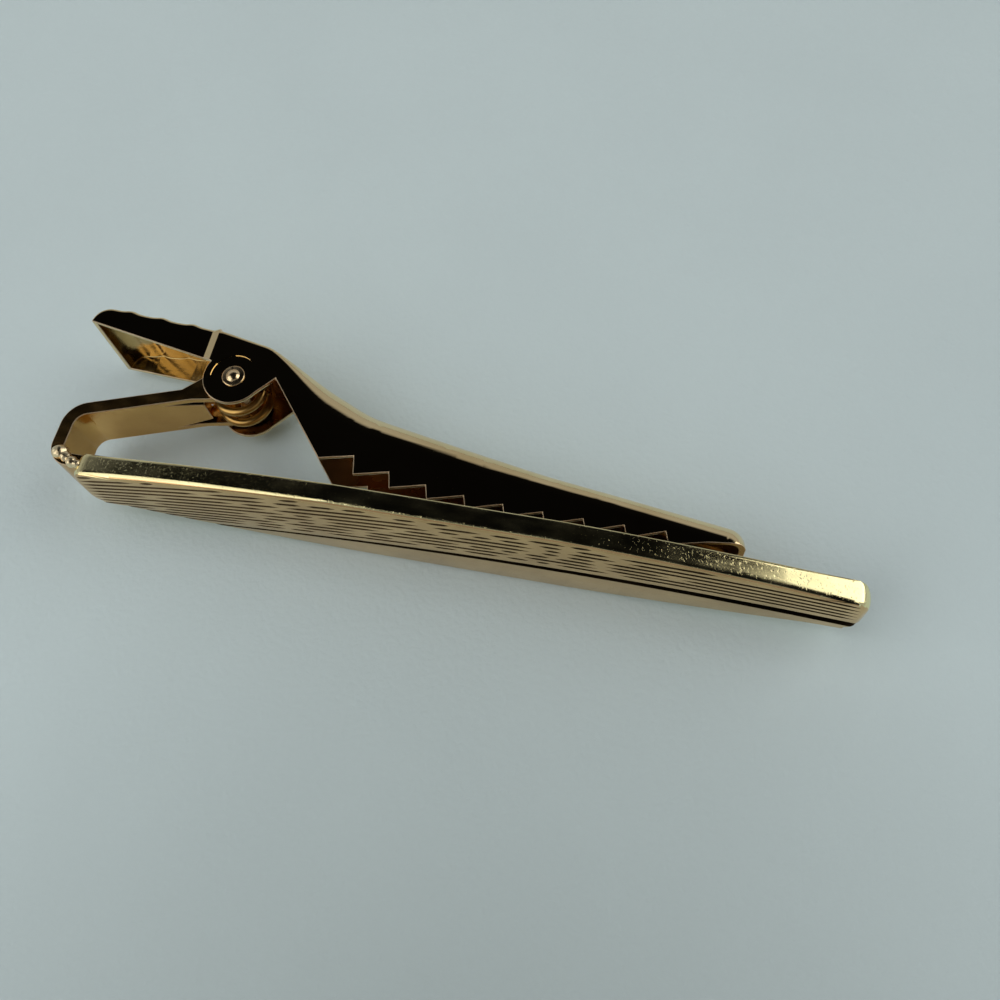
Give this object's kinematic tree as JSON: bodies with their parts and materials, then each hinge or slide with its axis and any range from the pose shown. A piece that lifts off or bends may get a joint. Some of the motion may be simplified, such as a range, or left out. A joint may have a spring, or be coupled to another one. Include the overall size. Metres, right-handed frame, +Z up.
{
  "type": "tie clip",
  "caption": "Hinged alligator tie clip: a lens-shaped engraved front bar, a bent return strap and a sprung toothed jaw with a thumb tab that grips a tie and shirt placket.",
  "frame": {"origin": "middle of the bar's front face, on that face", "axes": "+X along the bar to its free end, -Y out of the front face, +Z up along the hinge pin"},
  "size_m": [0.0583, 0.0137, 0.0086],
  "materials": {
    "gold_plate": "polished gold plate with engraved lines",
    "gold_strap": "polished gold plate",
    "gold_jaw": "polished gold plate",
    "solder": "plated solder lumps",
    "rivet_metal": "plated, rubbed",
    "spring_wire": "plated wire"
  },
  "bodies": {
    "frame": {"front_bar": "gold_plate", "return_strap": "gold_strap", "solder_fillet": "solder", "torsion_spring": "spring_wire"},
    "jaw": {"jaw": "gold_jaw", "hinge_rivet": "rivet_metal"}
  },
  "joints": [
    {"name": "jaw_hinge", "type": "hinge", "parent": "frame", "child": "jaw", "pos_m": [-0.0183, 0.0097, 0], "axis": [0, 0, 1], "range_deg": [0, 24], "stiffness_Nm_per_rad": 0.03, "springref_deg": -34.38, "deforming": ["torsion_spring"]}
  ]
}
